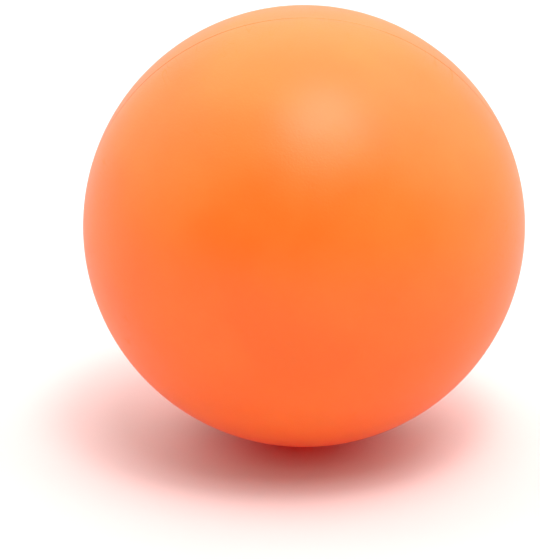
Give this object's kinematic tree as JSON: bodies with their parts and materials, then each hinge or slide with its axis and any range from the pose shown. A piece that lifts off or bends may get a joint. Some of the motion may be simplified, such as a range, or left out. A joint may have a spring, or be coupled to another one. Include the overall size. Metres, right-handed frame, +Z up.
{
  "type": "table tennis ball",
  "caption": "Hollow, thin-walled matt orange ball for table tennis, made of half shells cemented at a lap joint round the middle.",
  "frame": {"origin": "centre of the ball", "axes": "+Z up; +Y along the pole axis of the two half shells, from the half with the inner lip to the half with the outer lip, so the seam lies in the XZ plane; +X completes the right-handed frame"},
  "size_m": [0.04, 0.04, 0.04],
  "materials": {
    "ball_shell": "satin",
    "dried_cement": "satin"
  },
  "bodies": {
    "root": {"inner_lip_half": "ball_shell", "outer_lip_half": "ball_shell", "seam_cement": "dried_cement"}
  },
  "joints": []
}
